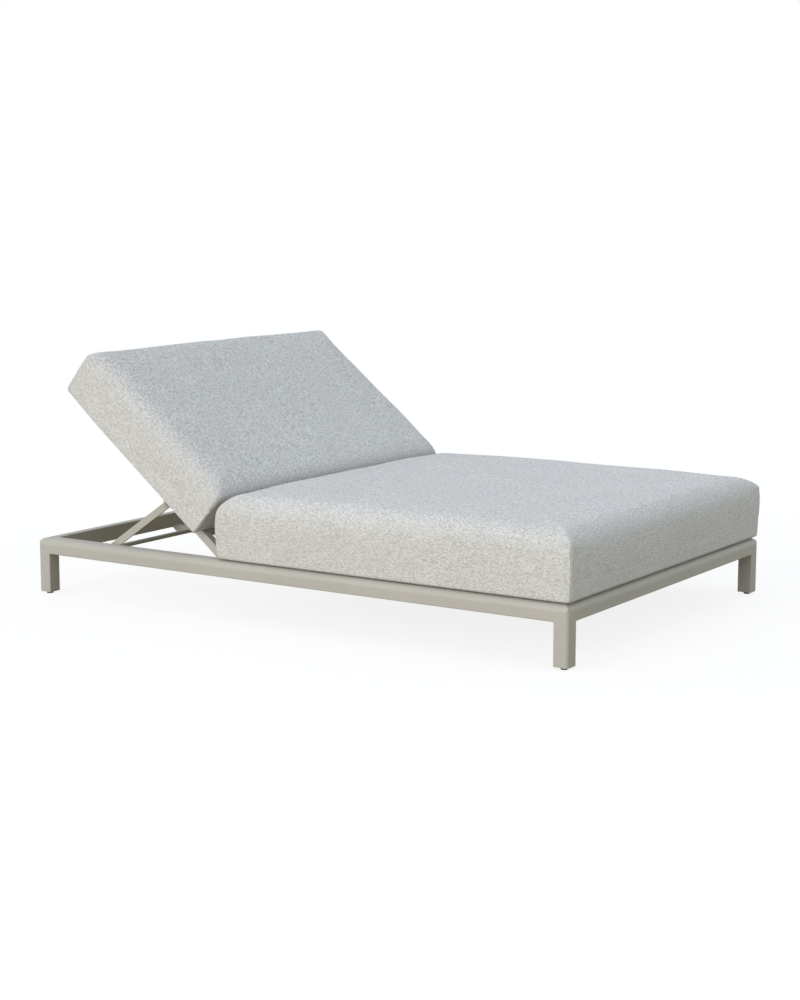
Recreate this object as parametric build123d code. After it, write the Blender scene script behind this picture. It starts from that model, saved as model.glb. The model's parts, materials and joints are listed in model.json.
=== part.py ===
from build123d import *
from math import acos, asin, atan2, cos, degrees, hypot, pi, radians, sin
import os

# A double chaise lounger for the patio. X runs from the head to the foot, Y across, Z up.
# The origin is on the ground, under the middle of the frame. Lengths are in millimetres.
# It is drawn with its back raised to the top notch of the prop racks.

# The whole frame
LENGTH = 2100.0
WIDTH = 1380.0

# Outer rails: one rolled profile, mitred at the corners
RAIL_WIDTH = 50.0
RAIL_DEPTH = 54.0
RAIL_WALL = 2.5
RAIL_ROLL = 24.0
RAIL_EDGE = 3.0
CORNER_ROUND = 11.0

# Legs, their end plates and glides
LEG_HEIGHT = 135.0
LEG_SIZE = 50.0
LEG_EDGE = 2.0
PLATE_THICK = 4.0
GLIDE_HEIGHT = 8.0
GLIDE_RADIUS = 11.0
GLIDE_STEM_RADIUS = 5.0
GLIDE_STEM_LENGTH = 18.0

# Seat deck
DECK_PROUD = 3.0
SLAT_WIDTH = 60.0
SLAT_DEPTH = 20.0
SLAT_WALL = 1.5
SLAT_EDGE = 1.5
SLAT_COUNT = 9
HINGE_RAIL_WIDTH = 40.0
HINGE_RAIL_DEPTH = 50.0
HINGE_RAIL_WALL = 2.5
HINGE_RAIL_EDGE = 2.0
HINGE_RAIL_GAP = 5.0
BEAM_WIDTH = 40.0
BEAM_DEPTH = 20.0
BEAM_WALL = 2.0
LEDGE_REACH = 20.0
LEDGE_THICK = 3.0

# Back frame
BACK_ANGLE = 38.8
BACK_REACH = 722.0
HINGE_FROM_HEAD = 783.0
BACK_TUBE_WIDTH = 30.0
BACK_TUBE_DEPTH = 28.0
BACK_TUBE_WALL = 2.0
BACK_TUBE_EDGE = 2.0
BACK_SIDE_GAP = 4.0
BACK_SLAT_WIDTH = 50.0
BACK_SLAT_DEPTH = 18.0
BACK_SLAT_COUNT = 6
BACK_SLAT_START = 118.0
SPINE_WIDTH = 40.0
CAP_THICK = 3.0
CAP_PLUG = 14.0

# Back hinge bolts, bushes and rivet nuts
PIVOT_RADIUS = 5.0
PIVOT_HEAD_RADIUS = 9.0
PIVOT_HEAD = 5.0
PIVOT_SOCKET_ACROSS = 6.0
PIVOT_BUSH_WALL = 2.0
PIVOT_FLANGE_RADIUS = 11.0
PIVOT_INNER_FLANGE = 3.0
RIVET_NUT_RADIUS = 7.5
RIVET_NUT_LENGTH = 16.0

# Prop: a bail of two flat arms and a cross bar
PROP_REACH = 300.0
PROP_DROP = 27.0
BAR_BELOW_RAIL = 21.0
ARM_LENGTH = 314.0
ARM_WIDTH = 24.0
ARM_THICK = 8.0
ARM_INSET = 15.0
CROSS_BAR_RADIUS = 8.0
CROSS_BAR_WALL = 2.0
CROSS_BAR_INSET = 3.0
BAR_CAP_THICK = 1.5
BAR_CAP_PLUG = 8.0
LUG_THICK = 5.0
LUG_GAP = 3.0
LUG_WIDTH = 44.0
LUG_END_RADIUS = 10.0
PROP_PIN_RADIUS = 4.0
PROP_PIN_HEAD_RADIUS = 7.0
PROP_PIN_HEAD = 4.0
PROP_NUT_RADIUS = 6.5
PROP_NUT = 4.5
PROP_BUSH_WALL = 2.0

# Notched racks that the cross bar is set in
RACK_THICK = 12.0
RACK_ANGLES = (BACK_ANGLE, 30.0, 21.0)
RACK_MARGIN = 14.0
RACK_TAIL = 13.0
RACK_FOOT = 3.0
RACK_STEPS = 8
NOTCH_DEPTH = 2.5
NOTCH_CLEARANCE = 0.4

# Stops that the lowered back rests on
STOP_LENGTH = 30.0
STOP_REACH = 28.0
STOP_THICK = 4.0
STOP_PAD = 5.0
STOP_HEIGHT = 22.0
STOP_FROM_RAIL = 26.0

# Seat cushion
SEAT_FROM_HINGE = 2.5
SEAT_FOOT_INSET = 0.5
SEAT_END_THICK = 212.0
SEAT_SIDE_THICK = 220.0
SEAT_CROWN = 8.0
SEAT_SIDE_ROUND = 48.0
SEAT_END_ROUND = 54.0

# Back cushion
BACK_CUSHION_LENGTH = 723.0
BACK_CUSHION_START = 122.5
BACK_CUSHION_END_THICK = 181.0
BACK_CUSHION_SIDE_THICK = 184.0
BACK_CUSHION_CROWN = 8.0
BACK_CUSHION_SIDE_ROUND = 46.0
BACK_CUSHION_LOWER_ROUND = 46.0
BACK_CUSHION_UPPER_ROUND = 20.0

# Both cushions
CUSHION_SIDE_INSET = 4.0
CUSHION_HEM = 14.0
CUSHION_BULGE = 6.0
CUSHION_END_BULGE = 3.0
CUSHION_CORNER = 28.0

# Fits
TOUCH = 0.3
PRESS_CLEARANCE = 0.05
RUNNING_CLEARANCE = 0.06
OVERRUN = 5.0

# Heights above the ground
LEG_BOTTOM = GLIDE_HEIGHT
RAIL_BOTTOM = LEG_BOTTOM + LEG_HEIGHT
RAIL_TOP = RAIL_BOTTOM + RAIL_DEPTH
DECK_TOP = RAIL_TOP + DECK_PROUD
SLAT_BOTTOM = DECK_TOP - SLAT_DEPTH
BEAM_TOP = DECK_TOP - HINGE_RAIL_DEPTH
BEAM_BOTTOM = BEAM_TOP - BEAM_DEPTH
HINGE_Z = DECK_TOP - BACK_TUBE_DEPTH / 2

# Places along and across the frame
HINGE_X = HINGE_FROM_HEAD - LENGTH / 2
INNER_X = LENGTH / 2 - RAIL_WIDTH
INNER_Y = WIDTH / 2 - RAIL_WIDTH
HINGE_RAIL_X = HINGE_X + BACK_TUBE_DEPTH / 2 + HINGE_RAIL_GAP
DECK_START_X = HINGE_RAIL_X + HINGE_RAIL_WIDTH
BACK_OUTER_Y = INNER_Y - BACK_SIDE_GAP
BACK_INNER_Y = BACK_OUTER_Y - BACK_TUBE_WIDTH
ARM_OUTER_Y = INNER_Y - ARM_INSET
ARM_INNER_Y = ARM_OUTER_Y - ARM_THICK
SEAT_HEAD_X = HINGE_X + SEAT_FROM_HINGE
SEAT_FOOT_X = LENGTH / 2 - SEAT_FOOT_INSET
CUSHION_HALF_WIDTH = WIDTH / 2 - CUSHION_SIDE_INSET
SIDES = {"left": 1, "right": -1}
ENDS = {"head": -1, "foot": 1}

# The back's own axes at rest: along it, up from the hinge, and out of its face
ALONG = Vector(-cos(radians(BACK_ANGLE)), 0, sin(radians(BACK_ANGLE)))
OUT = Vector(sin(radians(BACK_ANGLE)), 0, cos(radians(BACK_ANGLE)))

# The prop's pivot at rest, and the dip of its arms from there to the cross bar in the top notch
PROP_PIVOT = Vector(HINGE_X, 0, HINGE_Z) + ALONG * PROP_REACH - OUT * PROP_DROP
PROP_ANGLE = degrees(asin((PROP_PIVOT.Z - RAIL_TOP + BAR_BELOW_RAIL) / ARM_LENGTH))


def block(low, high):
    """A box between two corners."""
    size = [b - a for a, b in zip(low, high)]
    middle = [(a + b) / 2 for a, b in zip(low, high)]
    return Pos(*middle) * Box(*size)


def rounded_bar(low, high, edge, along, ease=fillet):
    """A box with its four long edges rounded or chamfered; `along` is the axis that it runs in."""
    solid = block(low, high)
    return ease(solid.edges().filter_by(along), edge)


def tube(low, high, wall, edge, along, ease=fillet):
    """A square tube between two corners, open at its ends along `along`."""
    reach = {Axis.X: (1, 0, 0), Axis.Y: (0, 1, 0), Axis.Z: (0, 0, 1)}[along]
    inner_low = [a - OVERRUN if r else a + wall for a, r in zip(low, reach)]
    inner_high = [b + OVERRUN if r else b - wall for b, r in zip(high, reach)]
    return rounded_bar(low, high, edge, along, ease) - block(inner_low, inner_high)


def across(face, start, end):
    """A face drawn in X and Z, carried through from one Y to another."""
    low, high = min(start, end), max(start, end)
    return Pos(0, low, 0) * extrude(Plane.XZ * face, high - low, dir=(0, 1, 0))


def slab_y(corners, start, end):
    """A plate across the frame: an outline in X and Z between two Y."""
    return across(make_face(Polyline(*corners, close=True)), start, end)


def hexagon_y(radius, x, z, start, end):
    """A six-sided bar across the frame; the radius is to its corners."""
    return across(Pos(x, z) * RegularPolygon(radius, 6), start, end)


def angle_x(corners, start, run):
    """A straight length along X of a section given in Y and Z."""
    face = make_face(Plane.YZ * Polyline(*corners, close=True))
    return Pos(start, 0, 0) * extrude(face, run, dir=(1, 0, 0))


def rod_y(radius, x, z, start, end):
    """A round rod across the frame, from one Y to another."""
    low, high = min(start, end), max(start, end)
    return Pos(x, (low + high) / 2, z) * Rot(90, 0, 0) * Cylinder(radius, high - low)


def on_back(shape):
    """Moves a shape drawn with the back flat, hinge at the origin, to the raised back."""
    return Pos(HINGE_X, 0, HINGE_Z) * Rot(0, BACK_ANGLE, 0) * shape


def group(shapes):
    """Several solids of one sub-part."""
    return Compound(children=[solid for shape in shapes for solid in shape.solids()])


def prop_foot(angle):
    """The cross bar's axis, (x, z), with the back at an angle and the prop folding in step."""
    lean = radians(angle)
    dip = radians(PROP_ANGLE) * angle / BACK_ANGLE
    x = HINGE_X - PROP_REACH * cos(lean) - PROP_DROP * sin(lean) - ARM_LENGTH * cos(dip)
    z = HINGE_Z + PROP_REACH * sin(lean) - PROP_DROP * cos(lean) - ARM_LENGTH * sin(dip)
    return x, z


# Outer rails and legs

def rail_face(inset):
    """The rolled rail profile, drawn in by an inset; outwards is +X, upwards +Y."""
    width, depth = RAIL_WIDTH - 2 * inset, RAIL_DEPTH - 2 * inset
    face = Pos(RAIL_WIDTH / 2, RAIL_DEPTH / 2) * Rectangle(width, depth)
    corners = face.vertices().sort_by(Axis.X).sort_by(Axis.Y)
    outer_top = face.vertices().sort_by(lambda v: v.X + v.Y)[-1]
    others = [v for v in corners if (v.X, v.Y) != (outer_top.X, outer_top.Y)]
    face = fillet(outer_top, RAIL_ROLL - inset)
    if not inset:
        edges = [v for v in face.vertices() if any((v.X, v.Y) == (o.X, o.Y) for o in others)]
        face = fillet(edges, RAIL_EDGE)
    return face


def plan_block(inset):
    """The frame's outline from above, with its rounded corners, as a tall block."""
    outline = RectangleRounded(LENGTH - 2 * inset, WIDTH - 2 * inset, CORNER_ROUND - inset)
    return Pos(0, 0, LEG_BOTTOM) * extrude(outline, RAIL_TOP)


def rail_run(inset, run, place):
    """One straight rail, longer than the frame, before its mitres are cut."""
    return place * extrude(rail_face(inset), run, both=True)


def mitred_rail(run, reach, place, keep):
    """A hollow rail, mitred by the plan of its own quarter of the frame."""
    outer = rail_run(0, run, place) & plan_block(0)
    hollow = rail_run(RAIL_WALL, run, place) & plan_block(RAIL_WALL)
    quarter = make_face(Polyline(*keep, close=True))
    return (outer - hollow) & (Pos(0, 0, RAIL_BOTTOM - OVERRUN) * extrude(quarter, reach))


def side_rail(side):
    place = Plane(origin=(0, side * INNER_Y, RAIL_BOTTOM), x_dir=(0, side, 0), z_dir=(side, 0, 0))
    keep = [(-LENGTH / 2, side * WIDTH / 2), (LENGTH / 2, side * WIDTH / 2),
            (INNER_X, side * INNER_Y), (-INNER_X, side * INNER_Y)]
    rail = mitred_rail(LENGTH / 2, RAIL_DEPTH + 2 * OVERRUN, place, keep)
    bore = RIVET_NUT_RADIUS + PRESS_CLEARANCE
    return rail - hexagon_y(bore, HINGE_X, HINGE_Z,
                            side * (INNER_Y - OVERRUN), side * (INNER_Y + RAIL_WALL + OVERRUN))


def end_rail(end):
    place = Plane(origin=(end * INNER_X, 0, RAIL_BOTTOM), x_dir=(end, 0, 0), z_dir=(0, -end, 0))
    keep = [(end * LENGTH / 2, -WIDTH / 2), (end * LENGTH / 2, WIDTH / 2),
            (end * INNER_X, INNER_Y), (end * INNER_X, -INNER_Y)]
    return mitred_rail(WIDTH / 2, RAIL_DEPTH + 2 * OVERRUN, place, keep)


def leg_outline(inset):
    """A leg's section about its own middle, its outer corner towards +X +Y."""
    face = Rectangle(LEG_SIZE - 2 * inset, LEG_SIZE - 2 * inset)
    outer = face.vertices().sort_by(lambda v: v.X + v.Y)[-1]
    face = fillet(outer, CORNER_ROUND - inset)
    if not inset:
        half = LEG_SIZE / 2
        square = [v for v in face.vertices() if abs(v.X) == half and abs(v.Y) == half]
        face = chamfer(square, LEG_EDGE)
    return face


def leg_place(end, side):
    """Where a leg's section sits, with its rounded corner outwards."""
    x, y = end * (LENGTH - LEG_SIZE) / 2, side * (WIDTH - LEG_SIZE) / 2
    turn = {(1, 1): 0, (-1, 1): 1, (-1, -1): 2, (1, -1): 3}[(end, side)]
    return Pos(x, y, LEG_BOTTOM) * Rot(0, 0, turn * 90)


def leg(end, side):
    section = leg_outline(0) - leg_outline(RAIL_WALL)
    return leg_place(end, side) * extrude(section, LEG_HEIGHT)


def leg_end_plate(end, side):
    plate = extrude(leg_outline(RAIL_WALL + PRESS_CLEARANCE), PLATE_THICK)
    hole = Cylinder(GLIDE_STEM_RADIUS + PRESS_CLEARANCE, 2 * PLATE_THICK + OVERRUN)
    return leg_place(end, side) * (plate - hole)


def glide(end, side):
    """A round nylon glide with a stem pressed into the leg's end plate."""
    foot = Pos(0, 0, -GLIDE_HEIGHT / 2) * Cylinder(GLIDE_RADIUS, GLIDE_HEIGHT)
    stem = Pos(0, 0, GLIDE_STEM_LENGTH / 2) * Cylinder(GLIDE_STEM_RADIUS, GLIDE_STEM_LENGTH)
    return leg_place(end, side) * (foot + stem)


# Seat deck

def centre_beam():
    """A flat tube from head rail to foot rail; its ends are cut back below the rails."""
    low = (-INNER_X, -BEAM_WIDTH / 2, BEAM_BOTTOM)
    high = (INNER_X, BEAM_WIDTH / 2, BEAM_TOP)
    beam = tube(low, high, BEAM_WALL, BEAM_WALL / 2, Axis.X, chamfer)
    drop = RAIL_BOTTOM - BEAM_BOTTOM
    for end in ENDS.values():
        corner = [(end * INNER_X, RAIL_BOTTOM), (end * (INNER_X - drop), BEAM_BOTTOM),
                  (end * (INNER_X - drop), BEAM_BOTTOM - OVERRUN),
                  (end * (INNER_X + OVERRUN), BEAM_BOTTOM - OVERRUN),
                  (end * (INNER_X + OVERRUN), RAIL_BOTTOM)]
        beam -= slab_y(corner, -BEAM_WIDTH, BEAM_WIDTH)
    return beam


def seat_bearer():
    """The tube that lifts the slats off the centre beam."""
    low = (DECK_START_X, -BEAM_WIDTH / 2, BEAM_TOP)
    high = (INNER_X, BEAM_WIDTH / 2, SLAT_BOTTOM)
    return tube(low, high, BEAM_WALL, BEAM_WALL / 2, Axis.X, chamfer)


def hinge_rail():
    low = (HINGE_RAIL_X, -INNER_Y, BEAM_TOP)
    high = (DECK_START_X, INNER_Y, DECK_TOP)
    return tube(low, high, HINGE_RAIL_WALL, HINGE_RAIL_EDGE, Axis.Y, chamfer)


def slat_places():
    """The X of each seat slat's middle, with equal gaps from hinge rail to foot rail."""
    gap = (INNER_X - DECK_START_X - SLAT_COUNT * SLAT_WIDTH) / (SLAT_COUNT + 1)
    return [DECK_START_X + gap + SLAT_WIDTH / 2 + i * (gap + SLAT_WIDTH) for i in range(SLAT_COUNT)]


def seat_slats():
    slats = []
    for x in slat_places():
        low = (x - SLAT_WIDTH / 2, -INNER_Y, SLAT_BOTTOM)
        high = (x + SLAT_WIDTH / 2, INNER_Y, DECK_TOP)
        slats.append(tube(low, high, SLAT_WALL, SLAT_EDGE, Axis.Y, chamfer))
    return group(slats)


def slat_ledge(side):
    """An angle along the side rail that carries the slats' ends."""
    outer, inner = side * INNER_Y, side * (INNER_Y - LEDGE_REACH)
    root = side * (INNER_Y - LEDGE_THICK)
    shelf_low, toe = SLAT_BOTTOM - LEDGE_THICK, SLAT_BOTTOM - LEDGE_REACH
    corners = [(outer, SLAT_BOTTOM), (inner, SLAT_BOTTOM), (inner, shelf_low),
               (root, shelf_low), (root, toe), (outer, toe)]
    return angle_x(corners, DECK_START_X, INNER_X - DECK_START_X)


# Back frame, drawn flat with the hinge at the origin: its length runs to -X

def back_side_tube(side):
    """A side tube with a round hinge end, bored for the hinge bushes and the prop's lugs."""
    radius = BACK_TUBE_DEPTH / 2
    low_y, high_y = sorted((side * BACK_INNER_Y, side * BACK_OUTER_Y))
    body = tube((-BACK_REACH, low_y, -radius), (0, high_y, radius), BACK_TUBE_WALL, BACK_TUBE_EDGE, Axis.X)
    end = rod_y(radius, 0, 0, low_y, high_y)
    end -= block((-BACK_TUBE_DEPTH, low_y - OVERRUN, -BACK_TUBE_DEPTH), (0, high_y + OVERRUN, BACK_TUBE_DEPTH))
    end -= rod_y(radius - BACK_TUBE_WALL, 0, 0, low_y + BACK_TUBE_WALL, high_y - BACK_TUBE_WALL)
    bore = PIVOT_RADIUS + PIVOT_BUSH_WALL + PRESS_CLEARANCE
    return on_back(body + end - rod_y(bore, 0, 0, low_y - OVERRUN, high_y + OVERRUN))


def back_top_tube():
    low = (-BACK_REACH, -BACK_INNER_Y, -BACK_TUBE_DEPTH / 2)
    high = (-BACK_REACH + BACK_TUBE_DEPTH, BACK_INNER_Y, BACK_TUBE_DEPTH / 2)
    return on_back(tube(low, high, BACK_TUBE_WALL, BACK_TUBE_EDGE, Axis.Y))


def back_slats():
    """Cross slats between the back's side tubes, their tops flush with them."""
    top, bottom = BACK_TUBE_DEPTH / 2, BACK_TUBE_DEPTH / 2 - BACK_SLAT_DEPTH
    room = BACK_REACH - BACK_TUBE_DEPTH - BACK_SLAT_START
    gap = (room - BACK_SLAT_COUNT * BACK_SLAT_WIDTH) / BACK_SLAT_COUNT
    slats = []
    for i in range(BACK_SLAT_COUNT):
        start = BACK_SLAT_START + i * (BACK_SLAT_WIDTH + gap)
        low = (-start - BACK_SLAT_WIDTH, -BACK_INNER_Y, bottom)
        high = (-start, BACK_INNER_Y, top)
        slats.append(on_back(tube(low, high, SLAT_WALL, SLAT_EDGE, Axis.Y, chamfer)))
    return group(slats)


def back_spine():
    """A flat bar under the middle of the back's slats."""
    low = (-BACK_REACH + BACK_TUBE_DEPTH, -SPINE_WIDTH / 2, -BACK_TUBE_DEPTH / 2)
    high = (-BACK_SLAT_START, SPINE_WIDTH / 2, BACK_TUBE_DEPTH / 2 - BACK_SLAT_DEPTH)
    return on_back(rounded_bar(low, high, BACK_TUBE_EDGE, Axis.X))


def back_end_caps():
    """Plastic caps in the open top ends of the back's side tubes."""
    caps = []
    for side in SIDES.values():
        low_y, high_y = sorted((side * BACK_INNER_Y, side * BACK_OUTER_Y))
        radius = BACK_TUBE_DEPTH / 2
        face = rounded_bar((-BACK_REACH - CAP_THICK, low_y, -radius), (-BACK_REACH, high_y, radius),
                           BACK_TUBE_EDGE, Axis.X)
        fit = BACK_TUBE_WALL + PRESS_CLEARANCE
        plug = block((-BACK_REACH, low_y + fit, fit - radius), (-BACK_REACH + CAP_PLUG, high_y - fit, radius - fit))
        caps.append(on_back(face + plug))
    return group(caps)


def back_bushes():
    """Flanged nylon bushes in the back's side tubes; the outer flange is the spacer to the rail."""
    bushes = []
    sleeve = PIVOT_RADIUS + PIVOT_BUSH_WALL
    for side in SIDES.values():
        bush = rod_y(sleeve, 0, 0, side * BACK_INNER_Y, side * BACK_OUTER_Y)
        bush += rod_y(PIVOT_FLANGE_RADIUS, 0, 0, side * BACK_OUTER_Y, side * (INNER_Y - TOUCH))
        bush += rod_y(PIVOT_FLANGE_RADIUS, 0, 0, side * (BACK_INNER_Y - PIVOT_INNER_FLANGE), side * BACK_INNER_Y)
        bush -= rod_y(PIVOT_RADIUS + RUNNING_CLEARANCE, 0, 0,
                      side * (BACK_INNER_Y - PIVOT_INNER_FLANGE - OVERRUN), side * (INNER_Y + OVERRUN))
        bushes.append(on_back(bush))
    return group(bushes)


def pivot_bolts():
    """Shoulder bolts from inside the back's side tubes into the side rails."""
    bolts = []
    for side in SIDES.values():
        seat = BACK_INNER_Y - PIVOT_INNER_FLANGE - TOUCH
        tip = INNER_Y + RAIL_WALL + RIVET_NUT_LENGTH
        head = rod_y(PIVOT_HEAD_RADIUS, HINGE_X, HINGE_Z, side * (seat - PIVOT_HEAD), side * seat)
        socket = hexagon_y(PIVOT_SOCKET_ACROSS / 2, HINGE_X, HINGE_Z,
                           side * (seat - PIVOT_HEAD - OVERRUN), side * (seat - PIVOT_HEAD / 2))
        shank = rod_y(PIVOT_RADIUS, HINGE_X, HINGE_Z, side * seat, side * tip)
        bolts.append(head - socket + shank)
    return group(bolts)


def rivet_nuts():
    """Six-sided threaded inserts in the side rails' inner walls for the hinge bolts."""
    nuts = []
    for side in SIDES.values():
        start, inside = INNER_Y, INNER_Y + RAIL_WALL
        nut = hexagon_y(RIVET_NUT_RADIUS, HINGE_X, HINGE_Z, side * start, side * (inside + RIVET_NUT_LENGTH))
        nut -= rod_y(PIVOT_RADIUS + PRESS_CLEARANCE, HINGE_X, HINGE_Z,
                     side * (start - OVERRUN), side * (inside + RIVET_NUT_LENGTH + OVERRUN))
        nuts.append(nut)
    return group(nuts)


# Prop: its pivots ride on the back frame, in the back's flat axes

def lug_faces():
    """The four lug plates' inner and outer Y, on the +Y side."""
    inner = ARM_INNER_Y - LUG_GAP
    outer = ARM_OUTER_Y + LUG_GAP
    return [(inner - LUG_THICK, inner), (outer, outer + LUG_THICK)]


def lug_outline():
    """A lug from the side, about its pin: sloping sides that run into a round end."""
    half, rise = LUG_WIDTH / 2, PROP_DROP - BACK_TUBE_DEPTH / 2
    turn = atan2(rise, half) - acos(LUG_END_RADIUS / hypot(half, rise))
    x, z = LUG_END_RADIUS * cos(turn), LUG_END_RADIUS * sin(turn)
    edges = [Line((-half, rise), (half, rise)), Line((half, rise), (x, z)),
             ThreePointArc((x, z), (0, -LUG_END_RADIUS), (-x, z)), Line((-x, z), (-half, rise))]
    return make_face(Wire(edges)) - Circle(PROP_PIN_RADIUS + PRESS_CLEARANCE)


def prop_lug(side):
    """Two plates under a side tube that carry the end of a prop arm."""
    face = Pos(-PROP_REACH, -PROP_DROP) * lug_outline()
    return group([on_back(across(face, side * near, side * far)) for near, far in lug_faces()])


def prop_bolts():
    """Pivot bolts through the lugs and the prop arms."""
    bolts = []
    inner, outer = lug_faces()[0][0], lug_faces()[1][1]
    for side in SIDES.values():
        head = rod_y(PROP_PIN_HEAD_RADIUS, -PROP_REACH, -PROP_DROP, side * (inner - PROP_PIN_HEAD), side * inner)
        shank = rod_y(PROP_PIN_RADIUS, -PROP_REACH, -PROP_DROP, side * inner, side * (outer + PROP_NUT))
        bolts.append(on_back(head + shank))
    return group(bolts)


def prop_nuts():
    nuts = []
    outer = lug_faces()[1][1]
    for side in SIDES.values():
        nut = hexagon_y(PROP_NUT_RADIUS, -PROP_REACH, -PROP_DROP, side * outer, side * (outer + PROP_NUT))
        nut -= rod_y(PROP_PIN_RADIUS + PRESS_CLEARANCE, -PROP_REACH, -PROP_DROP,
                     side * (outer - OVERRUN), side * (outer + PROP_NUT + OVERRUN))
        nuts.append(on_back(nut))
    return group(nuts)


def on_prop(shape):
    """Moves a shape drawn along -X from its pivot at the origin to the prop at rest."""
    return Pos(*PROP_PIVOT) * Rot(0, -PROP_ANGLE, 0) * shape


def prop_arm(side):
    """A flat bar with round ends, bored for its bush and welded to the cross bar."""
    low, high = sorted((side * ARM_INNER_Y, side * ARM_OUTER_Y))
    half = ARM_WIDTH / 2
    arm = block((-ARM_LENGTH, low, -half), (0, high, half))
    arm += rod_y(half, 0, 0, low, high) + rod_y(half, -ARM_LENGTH, 0, low, high)
    arm -= rod_y(PROP_PIN_RADIUS + PROP_BUSH_WALL + PRESS_CLEARANCE, 0, 0, low - OVERRUN, high + OVERRUN)
    arm -= rod_y(CROSS_BAR_RADIUS, -ARM_LENGTH, 0, low - OVERRUN, high + OVERRUN)
    return on_prop(arm)


def prop_bushes():
    """A nylon sleeve in each arm; its ends stand out to space the arm from the lugs."""
    bushes = []
    lip = LUG_GAP - TOUCH
    for side in SIDES.values():
        bush = rod_y(PROP_PIN_RADIUS + PROP_BUSH_WALL, 0, 0, side * (ARM_INNER_Y - lip), side * (ARM_OUTER_Y + lip))
        bush -= rod_y(PROP_PIN_RADIUS + RUNNING_CLEARANCE, 0, 0,
                      side * (ARM_INNER_Y - LUG_GAP), side * (ARM_OUTER_Y + LUG_GAP))
        bushes.append(on_prop(bush))
    return group(bushes)


def prop_cross_bar():
    """The round tube between the arms; its ends stand out to rest in the racks."""
    end = INNER_Y - CROSS_BAR_INSET
    bar = rod_y(CROSS_BAR_RADIUS, -ARM_LENGTH, 0, -end, end)
    return on_prop(bar - rod_y(CROSS_BAR_RADIUS - CROSS_BAR_WALL, -ARM_LENGTH, 0, -end - OVERRUN, end + OVERRUN))


def cross_bar_caps():
    """Plastic caps in the cross bar's open ends."""
    caps = []
    end = INNER_Y - CROSS_BAR_INSET
    plug = CROSS_BAR_RADIUS - CROSS_BAR_WALL - PRESS_CLEARANCE
    for side in SIDES.values():
        face = rod_y(CROSS_BAR_RADIUS, -ARM_LENGTH, 0, side * end, side * (end + BAR_CAP_THICK))
        caps.append(on_prop(face + rod_y(plug, -ARM_LENGTH, 0, side * (end - BAR_CAP_PLUG), side * end)))
    return group(caps)


# Racks and stops on the side rails

def rack_crest():
    """The rack's top line, just under the cross bar at each notch, from foot side to head side."""
    under = CROSS_BAR_RADIUS + NOTCH_CLEARANCE
    span = RACK_ANGLES[0] - RACK_ANGLES[-1]
    feet = [prop_foot(RACK_ANGLES[0] - span * i / RACK_STEPS) for i in range(RACK_STEPS + 1)]
    crest = [(x, z - under) for x, z in feet]
    (x, z), (next_x, next_z) = crest[-2:]
    slope = (next_z - z) / (next_x - x)
    return [(crest[0][0] + RACK_MARGIN, crest[0][1])] + crest + [(next_x - RACK_TAIL, next_z - slope * RACK_TAIL)]


def prop_rack(side):
    """A notched block on a side rail's inner face."""
    crest = rack_crest()
    foot = RAIL_BOTTOM + RACK_FOOT
    outline = crest + [(crest[-1][0], foot), (crest[0][0], foot)]
    low, high = sorted((side * (INNER_Y - RACK_THICK), side * INNER_Y))
    rack = slab_y(outline, low, high)
    radius = CROSS_BAR_RADIUS + NOTCH_CLEARANCE
    for angle in RACK_ANGLES:
        x, z = prop_foot(angle)
        rack -= rod_y(radius, x, z - NOTCH_DEPTH, low - OVERRUN, high + OVERRUN)
    return rack


def back_stop(side):
    """An angle on the side rail, near the head, under the lowered back's side tube."""
    shelf = DECK_TOP - BACK_TUBE_DEPTH - TOUCH - STOP_PAD
    outer, inner, root = side * INNER_Y, side * (INNER_Y - STOP_REACH), side * (INNER_Y - STOP_THICK)
    corners = [(outer, shelf), (inner, shelf), (inner, shelf - STOP_THICK), (root, shelf - STOP_THICK),
               (root, shelf - STOP_HEIGHT), (outer, shelf - STOP_HEIGHT)]
    return angle_x(corners, STOP_FROM_RAIL - INNER_X, STOP_LENGTH)


def stop_pads():
    """Rubber pads on the back's stops."""
    pads = []
    top = DECK_TOP - BACK_TUBE_DEPTH - TOUCH
    x = STOP_FROM_RAIL - INNER_X
    for side in SIDES.values():
        low_y, high_y = sorted((side * (INNER_Y - STOP_REACH), side * (INNER_Y - STOP_THICK)))
        pads.append(rounded_bar((x, low_y, top - STOP_PAD), (x + STOP_LENGTH, high_y, top), RAIL_EDGE / 2, Axis.Z))
    return group(pads)


# Cushions, drawn with the underside on XY and the low end at X = 0

def cushion_section(half, side_top, crown, roll, bulge, depth):
    """A closed outline across a cushion, with swelling sides, rolled top edges and a crowned top."""
    shoulder = side_top - roll
    dip = roll * (1 - sin(pi / 4))
    inner = half - bulge
    edges = [Line((-inner, 0), (-inner, -depth)),
             Line((-inner, -depth), (inner, -depth)),
             Line((inner, -depth), (inner, 0)),
             ThreePointArc((inner, 0), (half, shoulder / 2), (inner, shoulder)),
             ThreePointArc((inner, shoulder), (inner - dip, side_top - dip), (inner - roll, side_top)),
             ThreePointArc((inner - roll, side_top), (0, side_top + crown), (roll - inner, side_top)),
             ThreePointArc((roll - inner, side_top), (dip - inner, side_top - dip), (-inner, shoulder)),
             ThreePointArc((-inner, shoulder), (-half, shoulder / 2), (-inner, 0))]
    return make_face(Wire(edges))


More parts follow.
